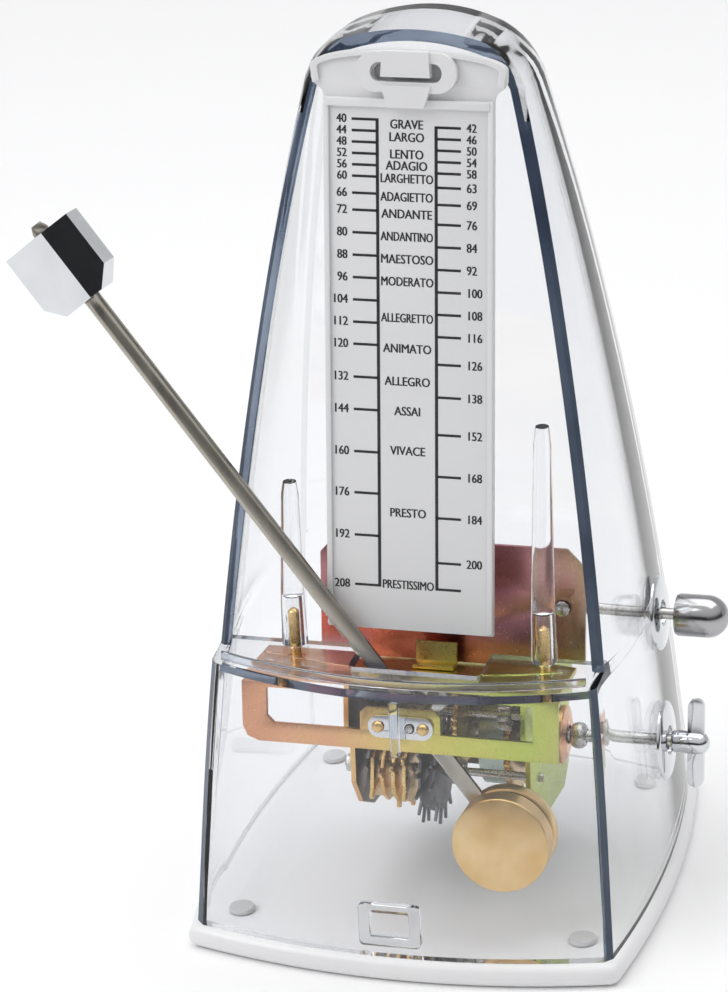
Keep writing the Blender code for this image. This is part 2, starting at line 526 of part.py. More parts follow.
for k in range(6):
    a = math.radians(61) * k / 5
    bell.append((17.4 * math.sin(a) / math.sin(math.radians(61)), 26.5 + 10 * (math.cos(a) - math.cos(math.radians(61))) /
                 (1 - math.cos(math.radians(61)))))
bell[0] = (1.7, bell[0][1])
bell += [(r - 0.9 if r > 5 else r, a - 0.9) for r, a in reversed(bell[1:])] + [(1.7, 35.4)]
node("bell_dome", turned(bell, 24, "y", DOME), "brass", rough=0.2)
post = [(0, 19.5), (2.4, 19.5), (2.4, 35.0), (1.3, 35.0), (1.3, 36.9), (2.8, 36.9), (2.8, 38.2), (0, 38.6)]
node("bell_post", turned(post, 14, "y", DOME), "steel", rough=0.25)
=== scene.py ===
"""Looks for the clear-cased metronome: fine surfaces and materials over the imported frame."""

import json
import math

import bmesh
import bpy
from mathutils import Matrix, Vector
from mathutils.geometry import tessellate_polygon


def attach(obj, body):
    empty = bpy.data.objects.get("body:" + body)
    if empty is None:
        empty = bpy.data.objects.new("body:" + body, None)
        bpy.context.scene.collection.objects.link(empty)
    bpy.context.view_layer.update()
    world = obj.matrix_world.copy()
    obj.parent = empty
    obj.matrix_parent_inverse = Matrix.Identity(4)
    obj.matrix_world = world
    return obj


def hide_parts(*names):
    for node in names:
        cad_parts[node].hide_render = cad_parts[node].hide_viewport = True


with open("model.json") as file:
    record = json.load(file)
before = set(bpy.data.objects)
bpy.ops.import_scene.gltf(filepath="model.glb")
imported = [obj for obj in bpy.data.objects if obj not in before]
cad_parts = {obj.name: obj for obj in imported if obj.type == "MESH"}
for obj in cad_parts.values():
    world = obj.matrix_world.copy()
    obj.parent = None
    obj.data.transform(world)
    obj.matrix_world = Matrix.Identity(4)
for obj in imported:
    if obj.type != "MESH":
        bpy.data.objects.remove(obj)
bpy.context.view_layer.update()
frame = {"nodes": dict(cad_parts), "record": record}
nodes = frame["nodes"]
MM = 0.001

# The driving sizes are the CAD model's, in millimetres and degrees.
HEIGHT, HALF, FOOT, LEDGE, WALL = 217.0, 51.0, 6.0, 71.5, 2.6    # the case; HALF is half its width at the foot
PIVOT, TILT, REST = (2.5, -34.7, 58.6), 8.0, 38.5        # the rod's pivot, the movement's lean, the rod's turn
BOB_AT, BOB_R, WEIGHT_AT = 34.8, 11.6, 134.2             # the bob below the pivot, and the weight above it
WINDING, SELECT = (41.2, -15.4), (44.9, 15.8)            # (y, z) of two shafts in the movement's frame
CARD_FOOT, CARD_LEAN = (0, -0.0282, 0.0783), 9.1         # the scale plate's lower edge, in metres
BOSS_Y, BOSS_TOPS = -25.1, ((-29.5, 112), (31.5, 129))   # the case's screw pillars: (x, top)

# The movement's frame leans back about the pendulum's arbor, and the rod's frame swings in it.
TO_L = Matrix.Translation(Vector(PIVOT) * MM) @ Matrix.Rotation(math.radians(-TILT), 4, "X")
TO_S = TO_L @ Matrix.Rotation(math.radians(-REST), 4, "Y")
TO_CARD = Matrix.Translation(CARD_FOOT) @ Matrix.Rotation(math.radians(-CARD_LEAN), 4, "X")
WORLD = Matrix.Identity(4)


def world_at(shaft):
    """(y, z) of a shaft of the movement in the case's own frame."""
    y, z = shaft
    cos, sin = math.cos(math.radians(TILT)), math.sin(math.radians(TILT))
    return PIVOT[1] + y * cos + z * sin, PIVOT[2] - y * sin + z * cos


KEY, KNOB = world_at(WINDING), world_at(SELECT)

# ---- materials --------------------------------------------------------------------------------------------


class Paint:
    """A Principled material with a few helpers for procedural colour, roughness and relief."""

    def __init__(self, name, colour, rough=0.3, metal=0.0, **sockets):
        self.material = bpy.data.materials.new(name)
        self.material.use_nodes = True
        self.tree = self.material.node_tree
        self.shader = self.tree.nodes["Principled BSDF"]
        self.shader.inputs["Base Color"].default_value = (*colour, 1)
        self.shader.inputs["Roughness"].default_value = rough
        self.shader.inputs["Metallic"].default_value = metal
        for key, value in sockets.items():
            self.shader.inputs[key.replace("_", " ")].default_value = value
        self.place = self.add("ShaderNodeTexCoord").outputs["Object"]

    def add(self, kind, **settings):
        made = self.tree.nodes.new(kind)
        for key, value in settings.items():
            setattr(made, key, value)
        return made

    def link(self, a, b):
        self.tree.links.new(a, b)

    def stretched(self, scale):
        mapping = self.add("ShaderNodeMapping")
        mapping.inputs["Scale"].default_value = scale
        self.link(self.place, mapping.inputs["Vector"])
        return mapping.outputs["Vector"]

    def noise(self, scale, detail=4.0, stretch=(1, 1, 1), distortion=0.0):
        made = self.add("ShaderNodeTexNoise")
        made.inputs["Scale"].default_value = scale
        made.inputs["Detail"].default_value = detail
        made.inputs["Distortion"].default_value = distortion
        self.link(self.stretched(stretch), made.inputs["Vector"])
        return made.outputs["Fac"]

    def ramp(self, factor, stops):
        made = self.add("ShaderNodeValToRGB")
        ramp = made.color_ramp
        while len(ramp.elements) < len(stops):
            ramp.elements.new(0.5)
        for element, (at, colour) in zip(ramp.elements, stops):
            element.position = at
            element.color = (*colour, 1) if len(colour) == 3 else (*colour * 3, 1)
        self.link(factor, made.inputs["Fac"])
        return made.outputs["Color"]

    def colour(self, factor, stops):
        self.link(self.ramp(factor, stops), self.shader.inputs["Base Color"])
        return self

    def rough(self, factor, low, high):
        made = self.add("ShaderNodeMapRange")
        made.inputs["From Min"].default_value, made.inputs["From Max"].default_value = 0.3, 0.7
        made.inputs["To Min"].default_value, made.inputs["To Max"].default_value = low, high
        self.link(factor, made.inputs["Value"])
        self.link(made.outputs["Result"], self.shader.inputs["Roughness"])
        return self

    def relief(self, factor, strength, distance=0.0001):
        made = self.add("ShaderNodeBump")
        made.inputs["Strength"].default_value, made.inputs["Distance"].default_value = strength, distance
        self.link(factor, made.inputs["Height"])
        self.link(made.outputs["Normal"], self.shader.inputs["Normal"])
        return self


def mixed(paint, a, b, share):
    """a + b * share."""
    made = paint.add("ShaderNodeMath", operation="MULTIPLY_ADD")
    paint.link(b, made.inputs[0])
    made.inputs[1].default_value = share
    paint.link(a, made.inputs[2])
    return made.outputs["Value"]


def clear(name, colour, rough):
    """Moulded styrene, seen through."""
    paint = Paint(name, colour, rough, 0.0, Transmission_Weight=1.0, IOR=1.46)
    return paint.rough(paint.noise(60), rough, rough + 0.02).material


def metal(name, dark, light, rough, spread=0.1, scale=2500, stretch=(1, 1, 1), relief=0.05):
    """Bare or plated metal: clouded between two tones, with a grain in its roughness."""
    paint = Paint(name, light, rough, 1.0)
    grain = paint.noise(scale, 6, stretch)
    paint.colour(paint.noise(90, 3), [(0.3, dark), (0.7, light)])
    paint.rough(grain, rough, rough + spread)
    if relief:
        paint.relief(paint.noise(260, 3, stretch), relief, 0.00001)
    return paint.material


def chromate(name, stops, tint):
    """Zinc passivate: a thin film whose colour drifts across the sheet."""
    paint = Paint(name, tint, 0.28, 1.0)
    split = paint.add("ShaderNodeSeparateXYZ")
    paint.link(paint.place, split.inputs["Vector"])
    across = paint.add("ShaderNodeMapRange")
    across.inputs["From Min"].default_value, across.inputs["From Max"].default_value = -0.04, 0.045
    paint.link(split.outputs["X"], across.inputs["Value"])
    drift = mixed(paint, across.outputs["Result"], paint.noise(38, 2, distortion=0.6), 0.34)
    shift = paint.add("ShaderNodeMath", operation="SUBTRACT")
    paint.link(drift, shift.inputs[0])
    shift.inputs[1].default_value = 0.17
    paint.colour(shift.outputs["Value"], stops)
    grain = paint.noise(2600, 4, (1, 1, 0.4))
    return paint.rough(grain, 0.26, 0.34).relief(paint.noise(150, 3), 0.08, 0.00002).material


CLEAR = clear("clear_plastic", (0.93, 0.94, 0.955), 0.015)
# Painted shade: a dark slate colour on the case's rim, corner and lip faces stands in for the dark refraction
# at the clear plastic's edges.
edge_shade_paint = Paint("clear_plastic_painted_edge_shade", (0.2, 0.25, 0.34), 0.12, 0.0, Transmission_Weight=0.5, IOR=1.4)
edge_shade_paint.colour(edge_shade_paint.noise(40, 3), [(0.3, (0.07, 0.095, 0.16)), (0.7, (0.16, 0.21, 0.3))])
PAINTED_EDGE_SHADE = edge_shade_paint.rough(edge_shade_paint.noise(80), 0.1, 0.16).material
RAIL = clear("clear_plastic_rail", (0.8, 0.84, 0.9), 0.04)

white_paint = Paint("white_plastic", (0.86, 0.86, 0.87), 0.32, 0.0, Coat_Weight=0.15, Coat_Roughness=0.2)
white_paint.colour(white_paint.noise(14, 3), [(0.3, (0.83, 0.83, 0.84)), (0.7, (0.88, 0.88, 0.885))])
white_paint.rough(white_paint.noise(200), 0.28, 0.36)
WHITE = white_paint.relief(white_paint.noise(900), 0.05, 0.00003).material
card_paint = Paint("scale_plastic", (0.8, 0.8, 0.81), 0.25)
card_paint.colour(card_paint.noise(10, 3), [(0.3, (0.76, 0.765, 0.775)), (0.7, (0.81, 0.81, 0.815))])
CARD = card_paint.rough(card_paint.noise(160), 0.34, 0.37).material
ink = Paint("ink", (0.02, 0.02, 0.022), 0.4)
INK = ink.colour(ink.noise(300), [(0.3, (0.012, 0.012, 0.014)), (0.7, (0.03, 0.03, 0.032))]).material
YELLOW_FILM = [(0.0, (0.66, 0.3, 0.17)), (0.2, (0.76, 0.4, 0.22)), (0.42, (0.76, 0.56, 0.2)),
               (0.58, (0.66, 0.6, 0.15)), (0.8, (0.52, 0.62, 0.13)), (1.0, (0.6, 0.52, 0.2))]
ROSE_FILM = [(0.0, (0.42, 0.38, 0.2)), (0.22, (0.5, 0.22, 0.25)), (0.55, (0.48, 0.17, 0.24)),
             (0.8, (0.5, 0.24, 0.25)), (1.0, (0.42, 0.38, 0.18))]
BROWN_FILM = [(0.0, (0.05, 0.04, 0.03)), (0.4, (0.09, 0.065, 0.045)), (0.7, (0.12, 0.1, 0.05)),
              (1.0, (0.1, 0.07, 0.05))]
YELLOW = chromate("yellow_chromate", YELLOW_FILM, (0.7, 0.6, 0.2))
ROSE = chromate("rose_chromate", ROSE_FILM, (0.5, 0.2, 0.2))
CHROME = metal("chrome", (0.64, 0.655, 0.68), (0.72, 0.735, 0.76), 0.03, 0.03, 120, relief=0)
STEEL = metal("bright_steel", (0.46, 0.45, 0.43), (0.6, 0.59, 0.57), 0.22, 0.14)
SATIN = metal("satin_chrome", (0.4, 0.4, 0.41), (0.48, 0.48, 0.49), 0.13, 0.04, 900, relief=0)
NICKEL = metal("nickel_strip", (0.4, 0.37, 0.32), (0.48, 0.45, 0.4), 0.26, 0.05, 300, (1, 1, 0.1), 0.02)
BROWN = chromate("olive_brown_plate", BROWN_FILM, (0.1, 0.08, 0.05))
DARK = metal("grey_steel", (0.13, 0.13, 0.14), (0.22, 0.22, 0.235), 0.36, 0.14)
COPPER = metal("copper", (0.72, 0.36, 0.2), (0.85, 0.5, 0.32), 0.18, 0.1)
ZINC = metal("zinc_plate", (0.42, 0.52, 0.46), (0.6, 0.68, 0.6), 0.25, 0.12)
BRASS = metal("brass", (0.72, 0.46, 0.16), (0.86, 0.6, 0.27), 0.22, 0.14)
rubber = Paint("grey_rubber", (0.6, 0.6, 0.6), 0.6)
RUBBER = rubber.colour(rubber.noise(80), [(0.3, (0.55, 0.55, 0.55)), (0.7, (0.66, 0.66, 0.66))]).material


def turned_brass(name, centre):
    """Satin face-turned brass: fine rings about the axis, and a soft sheen."""
    paint = Paint(name, (0.85, 0.6, 0.3), 0.3, 1.0)
    spin = paint.add("ShaderNodeMapping", vector_type="TEXTURE")
    spin.inputs["Location"].default_value = centre
    spin.inputs["Rotation"].default_value = (math.radians(-TILT), 0, 0)
    paint.link(paint.place, spin.inputs["Vector"])
    rings = paint.add("ShaderNodeTexWave", wave_type="RINGS", rings_direction="Y")
    rings.inputs["Scale"].default_value = 900
    rings.inputs["Distortion"].default_value = 0.6
    paint.link(spin.outputs["Vector"], rings.inputs["Vector"])
    cloud = paint.noise(110, 4)
    paint.colour(cloud, [(0.32, (0.78, 0.5, 0.2)), (0.55, (0.86, 0.6, 0.29)), (0.75, (0.9, 0.68, 0.38))])
    paint.rough(mixed(paint, paint.noise(260, 6), rings.outputs["Fac"], 0.1), 0.27, 0.4)
    return paint.relief(rings.outputs["Fac"], 0.06, 0.00002).material


BOB_CENTRE = TO_S @ (Vector((0, 0, -BOB_AT)) * MM)
BOB = turned_brass("bob_brass", BOB_CENTRE)

# ---- shapes -----------------------------------------------------------------------------------------------


def circle(cx, cz, r, n=48):
    return [(cx + r * math.cos(2 * math.pi * k / n), cz + r * math.sin(2 * math.pi * k / n)) for k in range(n)]


def rounded(x0, x1, z0, z1, r, steps=8):
    """A rectangle with round corners."""
    points = []
    corners = (x1 - r, z0 + r, -90), (x1 - r, z1 - r, 0), (x0 + r, z1 - r, 90), (x0 + r, z0 + r, 180)
    for cx, cz, start in corners:
        for k in range(steps + 1):
            a = math.radians(start + 90 * k / steps)
            points.append((cx + r * math.cos(a), cz + r * math.sin(a)))
    return points


def place(axis, u, v, a):
    """The point at (u, v) in the plane across axis, and at a along it."""
    return {"x": (a, u, v), "y": (u, a, v), "z": (u, v, a)}[axis]


def plate(outline, a0, a1, axis="y", holes=()):
    """A flat outline, with its holes, made solid from a0 to a1 along axis."""
    loops = [outline, *holes]
    flat = [[Vector((u, v, 0)) for u, v in loop] for loop in loops]
    verts = [place(axis, u, v, a) for a in (a0, a1) for loop in loops for u, v in loop]
    count, faces, base = sum(map(len, loops)), [], 0
    for tri in tessellate_polygon(flat):
        faces += [tuple(tri), tuple(k + count for k in reversed(tri))]
    for loop in loops:
        for k in range(len(loop)):
            i, j = base + k, base + (k + 1) % len(loop)
            faces.append((i, j, j + count, i + count))
        base += len(loop)
    return verts, faces


def turned(profile, n=64, axis="x", at=(0.0, 0.0)):
    """A profile of (radius, place along axis) turned about the axis that passes through at."""
    verts, faces, rings = [], [], []
    for r, a in profile:
        if r == 0:
            rings.append([len(verts)] * n)
            verts.append(place(axis, at[0], at[1], a))
        else:
            rings.append(list(range(len(verts), len(verts) + n)))
            verts += [place(axis, u, v, a) for u, v in circle(at[0], at[1], r, n)]
    pairs = list(zip(rings, rings[1:]))
    if profile[0][0] and profile[-1][0]:
        pairs.append((rings[-1], rings[0]))
    for low, high in pairs:
        for k in range(n):
            face = list(dict.fromkeys([low[k], low[(k + 1) % n], high[(k + 1) % n], high[k]]))
            if len(face) > 2:
                faces.append(face)
    return verts, faces


def mesh_from(shape, name, matrix=WORLD, scale=MM):
    """A mesh of a shape, which is (points, faces), moved by matrix."""
    mesh = bpy.data.meshes.new(name)
    mesh.from_pydata([matrix @ (Vector(v) * scale) for v in shape[0]], [], shape[1])
    work = bmesh.new()
    work.from_mesh(mesh)
    bmesh.ops.remove_doubles(work, verts=work.verts, dist=1e-7)
    bmesh.ops.recalc_face_normals(work, faces=work.faces)
    work.to_mesh(mesh)
    work.free()
    return mesh


def link(name, mesh):
    piece = bpy.data.objects.new(name, mesh)
    bpy.context.scene.collection.objects.link(piece)
    return piece


def shade(piece, angle=35):
    piece.data.shade_smooth()
    piece.data.set_sharp_from_angle(angle=math.radians(angle))


def bake(piece):
    """The piece's modifiers made part of its mesh."""
    bpy.context.view_layer.update()
    graph = bpy.context.evaluated_depsgraph_get()
    mesh = bpy.data.meshes.new_from_object(piece.evaluated_get(graph))
    piece.modifiers.clear()
    piece.data = mesh


def bevel(piece, width, segments=2, angle=30):
    step = piece.modifiers.new("edges", "BEVEL")
    step.width, step.segments, step.limit_method = width * MM, segments, "ANGLE"
    step.angle_limit, step.use_clamp_overlap = math.radians(angle), True
    bake(piece)


def boolean(piece, others, operation):
    """Cuts away or joins on each of the (shape, matrix) in others."""
    for shape, matrix in others:
        tool = link("tool", mesh_from(shape, "tool", matrix))
        step = piece.modifiers.new("cut", "BOOLEAN")
        step.operation, step.object, step.solver = operation, tool, "EXACT"
        bake(piece)
        bpy.data.objects.remove(tool, do_unlink=True)


def finish(piece, body, material, replaced=(), angle=35):
    """Paints and shades a piece, gives it the body that it moves with, and hides the CAD nodes that it stands
    for.
    """
    if not isinstance(material, (list, tuple)):
        material = [material]
    if not piece.data.materials:
        for each in material:
            piece.data.materials.append(each)
    shade(piece, angle)
    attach(piece, body)
    if replaced:
        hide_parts(*replaced)
    return piece


def build(name, shape, body, material, matrix=TO_L, replaced=(), edge=0.0, angle=35, segments=2):
    """One finished piece of a single shape, its edges rounded by edge."""
    piece = link(name, mesh_from(shape, name, matrix))
    if edge:
        bevel(piece, edge, segments)
    return finish(piece, body, material, replaced, angle)


BODY = {n: b for b, members in frame["record"]["behaviour"]["bodies"].items() for n in members}


def refine(node, material, edge=0.12, angle=32, segments=2):
    """A CAD node's own shape with worn, rounded edges and smooth shading."""
    mesh = nodes[node].data.copy()
    work = bmesh.new()
    work.from_mesh(mesh)
    bmesh.ops.remove_doubles(work, verts=work.verts, dist=2e-6)
    bmesh.ops.dissolve_limit(work, angle_limit=0.01, verts=work.verts, edges=work.edges)
    bmesh.ops.recalc_face_normals(work, faces=work.faces)
    work.to_mesh(mesh)
    work.free()
    mesh.materials.clear()
    if mesh.has_custom_normals:
        mesh.attributes.remove(mesh.attributes["custom_normal"])
    piece = link("fine_" + node, mesh)
    if edge:
        bevel(piece, edge, segments)
    return finish(piece, BODY[node], material, [node], angle)


# ---- case -------------------------------------------------------------------------------------------------

def half_width(z):
    t = (z - FOOT) / 100
    return HALF - 3.85 * t - 4.4 * t * t


def low_front(z):
    """y of the lower front's corners."""
    return -49.35 + 10.86 * (z - FOOT) / (LEDGE - FOOT)


def rim_front(z):
    """y of the window's rim, above the ledge."""
    return -30.1 + 19.44 * (z - LEDGE) / 100


def back(z):
    return 49.35 - 33.35 * (z - FOOT) / (HEIGHT - FOOT)


def ring(z, width, front, rear, bow_f, bow_s, bow_b, drop=0.0, reach=0.0, n=20, corner=0.0, bow_from=None,
         full=None):
    """One level of the case at height z, between two depths, with its front, sides and back bowed outwards.

    reach draws the front forward, to cut the window. corner cuts the corners off. The sides swell from
    bow_from to the back. drop lowers the level towards its sides, in full at the half width full.
    """
    nose = width - 0.02 * reach
    start_y = front if bow_from is None else bow_from

    def swell(y):
        s = 2 * (y - start_y) / (rear - start_y) - 1
        return bow_s * (1 - s * s) if y > start_y else 0.0

    def span(count, start, end):
        return [start + (end - start) * k / count for k in range(count)]

    points = []
    for s in span(n, -1 + corner / nose, 1 - corner / nose) + [1 - corner / nose]:
        points.append((s * nose, front - reach - bow_f * (1 - s * s)))
    trim = corner * 2 / (rear - front)
    samples = span(n, -1 + trim, 1 - trim) + [1 - trim]
    depths = [(front + rear) / 2 + s * (rear - front) / 2 for s in samples]
    side = [(width + swell(y), y) for y in depths]
    if reach:
        side = [(nose, front - reach), *side[:-1]]
    points += side
    for s in span(n, -1 + corner / width, 1 - corner / width) + [1 - corner / width]:
        points.append((-s * width, rear + bow_b * (1 - s * s)))
    points += [(-x, y) for x, y in reversed(side)]
    return [(x, y, z - drop * min(1.0, (x / (full or width)) ** 2)) for x, y in points]


def loft(rings, n=20):
    """The solid through a stack of rings, closed at the bottom and at the top."""
    verts = [p for each in rings for p in each]
    size, faces = 4 * (n + 1), []
    m = n + 1
    for r in range(len(rings) - 1):
        for k in range(size):
            i, j = r * size + k, r * size + (k + 1) % size
            faces.append((i, j, j + size, i + size))
    for first in (0, (len(rings) - 1) * size):
        for k in range(n):
            faces.append(tuple(first + i for i in (k, k + 1, 3 * m - 2 - k, 3 * m - 1 - k)))
        faces.append(tuple(first + k for k in (n, *range(m, 2 * m), 2 * m)))
        faces.append(tuple(first + k % size for k in (3 * m - 1, *range(3 * m, 4 * m), 4 * m)))
    return verts, faces


def level(z, front, inset=0.0, bow_f=0.0, drop=0.0, reach=0.0, corner=0.0, squeeze=0.0):
    """A ring of the case at height z, inset from the outer skin. squeeze narrows the head's round shoulder."""
    side_bow = 4.3 * (1 - 0.45 * z / HEIGHT)
    back_bow = 6.0 * (1 - 0.5 * z / HEIGHT)
    share = min(1.0, max(0.0, (z - FOOT) / (LEDGE - FOOT)))
    bow_from = low_front(FOOT) + (rim_front(LEDGE) - low_front(FOOT)) * share if z <= LEDGE else rim_front(z)
    width = half_width(z) - inset
    return ring(z, width - squeeze, front, back(z) - inset, bow_f, side_bow, back_bow, drop, reach,
                corner=corner, bow_from=bow_from, full=width)


def shoulder(radius, top, steps=7):
    """(height, side inset) up the rounded shoulder of the case's head."""
    angles = [math.pi / 2 * k / steps for k in range(steps + 1)]
    return [(top - radius * (1 - math.sin(a)), radius * (1 - math.cos(a))) for a in angles]


def front_bow(z):
    """How far the lower front swells, which grows towards the ledge."""
    return 7.2 + 2.0 * (z - FOOT) / (LEDGE - FOOT)


CROWN = 5                              # how far the head falls from its middle to its sides
CROWN_FROM = 150                       # the height at which that fall begins
REACH = 30                             # how far the cutter stands out of the window


def crown(z):
    return CROWN * max(0.0, (z - CROWN_FROM) / (HEIGHT - CROWN_FROM)) ** 2


LOW = [FOOT + (LEDGE - FOOT) * k / 8 for k in range(9)]
UP = [LEDGE + 6 + (HEIGHT - 15 - LEDGE) * k / 16 for k in range(17)]
outer = [level(z, low_front(z), bow_f=front_bow(z), corner=1.6) for z in LOW]
outer += [level(z, rim_front(z), corner=0.8, drop=crown(z)) for z in (LEDGE + 0.4, *UP)]
outer += [level(z, rim_front(z), drop=CROWN, corner=0.8, squeeze=inset) for z, inset in shoulder(7.0, HEIGHT)]
inner = [level(z, low_front(z) + WALL, WALL, front_bow(z)) for z in (FOOT - 3, *LOW[1:-1], LEDGE - 3)]
inner += [level(z, -24.0, WALL) for z in (LEDGE - 2.6, LEDGE + 0.2)]
inner += [level(z, rim_front(z), WALL, reach=REACH, drop=crown(z)) for z in (LEDGE + 0.6, *UP)]
inner += [level(z, rim_front(z), WALL, drop=CROWN, reach=REACH, squeeze=inset)
          for z, inset in shoulder(4.4, HEIGHT - WALL)]
shell = link("case_skin", mesh_from(loft(outer), "case_skin"))
boolean(shell, [(loft(inner), WORLD)], "DIFFERENCE")
BORE_TOP = 84                          # where a screw pillar's bore ends


def pillar(x, top, steps=14, n=24):
    """A screw pillar that thins upwards, and leans back above its bore to clear the swinging weight."""
    rings = []
    for k in range(steps + 1):
        z = LEDGE - 1 + (top - LEDGE + 1) * k / steps
        r = (3.2 - 1.2 * k / steps) * (1.0 if k < steps else 0.8)
        rings.append([(u, v, z) for u, v in circle(x, BOSS_Y + 0.113 * max(0.0, z - BORE_TOP), r, n)])
    verts = [p for each in rings for p in each]
    faces = [(n * r + k, n * r + (k + 1) % n, n * (r + 1) + (k + 1) % n, n * (r + 1) + k)
             for r in range(steps) for k in range(n)]
    return verts, faces + [tuple(range(n)), tuple(range(n * steps, n * (steps + 1)))]


boolean(shell, [(pillar(x, top), WORLD) for x, top in BOSS_TOPS], "UNION")
bore = [(0, LEDGE - 6), (1.75, LEDGE - 6), (1.75, BORE_TOP), (0, BORE_TOP + 0.6)]
boolean(shell, [(turned(bore, 32, "z", (x, BOSS_Y)), WORLD) for x, _ in BOSS_TOPS], "DIFFERENCE")
slot_cut = plate(rounded(-13.5, 18.5, -36.2, -16, 1.4), LEDGE - 5, LEDGE + 3, "z")
drills = [turned([(0, 40), (r, 40), (r, 62), (0, 62)], 48, "x", at) for at, r in ((KEY, 3.0), (KNOB, 2.4))]
boolean(shell, [(slot_cut, WORLD), *((d, WORLD) for d in drills)], "DIFFERENCE")


def rail(y_off, width, z0, z1, name, span=0.97):
    """A clear rib that follows the ledge's bowed front."""
    line = []
    for k in range(41):
        s = (2 * k / 40 - 1) * span
        line.append((s * (half_width(LEDGE) - 1.2), low_front(LEDGE) - front_bow(LEDGE) * (1 - s * s) + y_off))
    outline = line + [(x, y + width) for x, y in reversed(line)]
    return build(name, plate(outline, z0, z1, "z"), "case", RAIL, WORLD, edge=0.3)


def dark_edge(c, n):
    """Whether a face, with its centre in millimetres and its normal, is one of the edges that get the painted
    shade: a dark band standing in for the plastic's refraction there.
    """
    outside = abs(c.x) > half_width(c.z) - 3.4 or c.z > HEIGHT - 13
    window_rim = c.z > LEDGE + 1 and abs(c.y - rim_front(c.z)) < 0.9 and n.y < -0.45 and outside
    low_corner = c.z < LEDGE + 1 and c.y < 0 and abs(c.x) > half_width(c.z) - 1.9
    low_corner = low_corner and 0.35 < abs(n.x) < 0.93 and n.y < -0.3
    lip = LEDGE - 4 < c.z < LEDGE + 1 and abs(n.z) < 0.6 and c.y < -23.5 and abs(c.x) < half_width(c.z)
    return window_rim or low_corner or lip


for material in (CLEAR, PAINTED_EDGE_SHADE):
    shell.data.materials.append(material)
# The window's rim, the lower corners and the ledge's lip get the painted edge shade.
for face in shell.data.polygons:
    face.material_index = 1 if dark_edge(face.center / MM, face.normal) else 0
finish(shell, "case", [CLEAR, PAINTED_EDGE_SHADE], ["case_shell"], 28)
shell.visible_shadow = False
for piece in (rail(1.0, 1.1, LEDGE + 0.5, LEDGE + 2.4, "ledge_front_rail"),
              rail(13.2, 0.9, LEDGE - 5.2, LEDGE - 3.2, "ledge_inner_rib", 0.8)):
    piece.visible_shadow = False
tongue_outline = [(-1.0, 53.5), (0.6, 53.5), (0.9, 54.3), (0.9, 67.9), (-1.3, 67.9), (-1.3, 54.3)]
tongue = build("pivot_tongue", plate(tongue_outline, -45.2, -43.6), "case", RAIL, WORLD,
               edge=0.35)
tongue.visible_shadow = False
catch = build("front_catch_fine", plate(rounded(-9.5, 5.5, 6.0, 17.2, 1.2), -51.4, -49.6,
                                        holes=[rounded(-6.8, 2.8, 8.4, 15.2, 0.8)]),
              "case", CLEAR, WORLD, ["front_catch"], edge=0.3)
catch.visible_shadow = False

BASE_REACH = 58                        # the base narrows by shares of this distance from its middle
edge_ring = ring(0, 52.8, -51.0, 51.0, 7.4, 4.6, 6.4, corner=0.9)
levels = [(0.0, 1.6), (0.5, 0.9), (1.3, 0.25), (2.4, 0.0), (3.6, 0.05), (4.6, 0.35), (5.3, 0.9), (5.7, 1.7)]
slab = [[(x * (1 - inset / BASE_REACH), y * (1 - inset / BASE_REACH), z) for x, y, _ in edge_ring]
        for z, inset in levels]
base = link("base_fine", mesh_from(loft(slab), "base_fine"))
feet = [(-42, -40), (42, -40), (42, 40), (-42, 40)]
seat = [(0, -2), (5.2, -2), (5.2, 1.5), (2.4, 1.5), (2.4, 8), (0, 8)]
boolean(base, [(turned(seat, 32, "z", at), WORLD) for at in feet], "DIFFERENCE")
finish(base, "case", WHITE, ["base_plate"], 40)
foot = [(0, 0), (4.4, 0), (4.8, 0.3), (4.8, 1.2), (2.0, 1.2), (2.0, 6.0)]        # the pad and its stem
foot += [(3.1, 6.0), (3.2, 6.3), (2.9, 7.0), (0, 7.2)]                           # the barb that holds it
for k, at in enumerate(feet):
    shape = turned(foot, 48, "z", at)
    build(f"foot_fine_{k + 1}", shape, "case", RUBBER, WORLD, [f"foot_{k + 1}"])

# ---- scale ------------------------------------------------------------------------------------------------

head = [(-20, 0), (20, 0), (20, 126.0), (20.4, 127.3), (22.4, 129.0), (23, 130.3), (23, 133)]
head += [(23 * math.cos(a), 133 + 4.4 * math.sin(a)) for a in (math.pi * k / 32 for k in range(1, 32))]
head += [(-23, 133), (-23, 130.3), (-22.4, 129.0), (-20.4, 127.3), (-20, 126.0)]
latch_hole = rounded(-8.2, 8.2, 129.6, 133.8, 2.0)
card = link("scale_fine", mesh_from(plate(head, 0.0, 1.6, holes=[latch_hole]), "scale_fine", TO_CARD))
bevel(card, 0.25, 2)
card.data.materials.append(CARD)
card.data.materials.append(INK)

LETTERS = []
BOLD = 0.08                            # how far a letter's two strokes stand to either side
CONDENSED = 0.84                       # a letter's width, as a share of the font's own
INK_AT = 0.04                          # how far the ink stands off the plate


def lettering(text, x, z, size, align="CENTER", widest=99.0):
    """Bold, slightly condensed capitals or digits that lie on the plate's face."""
    curve = bpy.data.curves.new("word", "FONT")
    curve.body, curve.size, curve.align_x, curve.align_y = text, size * MM, align, "CENTER"
    curve.resolution_u = 3
    word = bpy.data.objects.new("word", curve)
    bpy.context.scene.collection.objects.link(word)
    bpy.context.view_layer.update()
    mesh = bpy.data.meshes.new_from_object(word.evaluated_get(bpy.context.evaluated_depsgraph_get()))
    xs = [v.co.x / MM for v in mesh.vertices]
    wide = min(CONDENSED, widest / (max(xs) - min(xs)))
    bpy.data.objects.remove(word, do_unlink=True)
    for shift, proud in ((-BOLD, INK_AT), (BOLD, 0.05)):
        turn = Matrix.Translation(Vector((x + shift, -proud, z)) * MM) @ Matrix.Rotation(math.pi / 2, 4, "X")
        stroke = mesh.copy()
        stroke.transform(TO_CARD @ turn @ Matrix.Diagonal((wide, 1, 1, 1)))
        LETTERS.append(stroke)


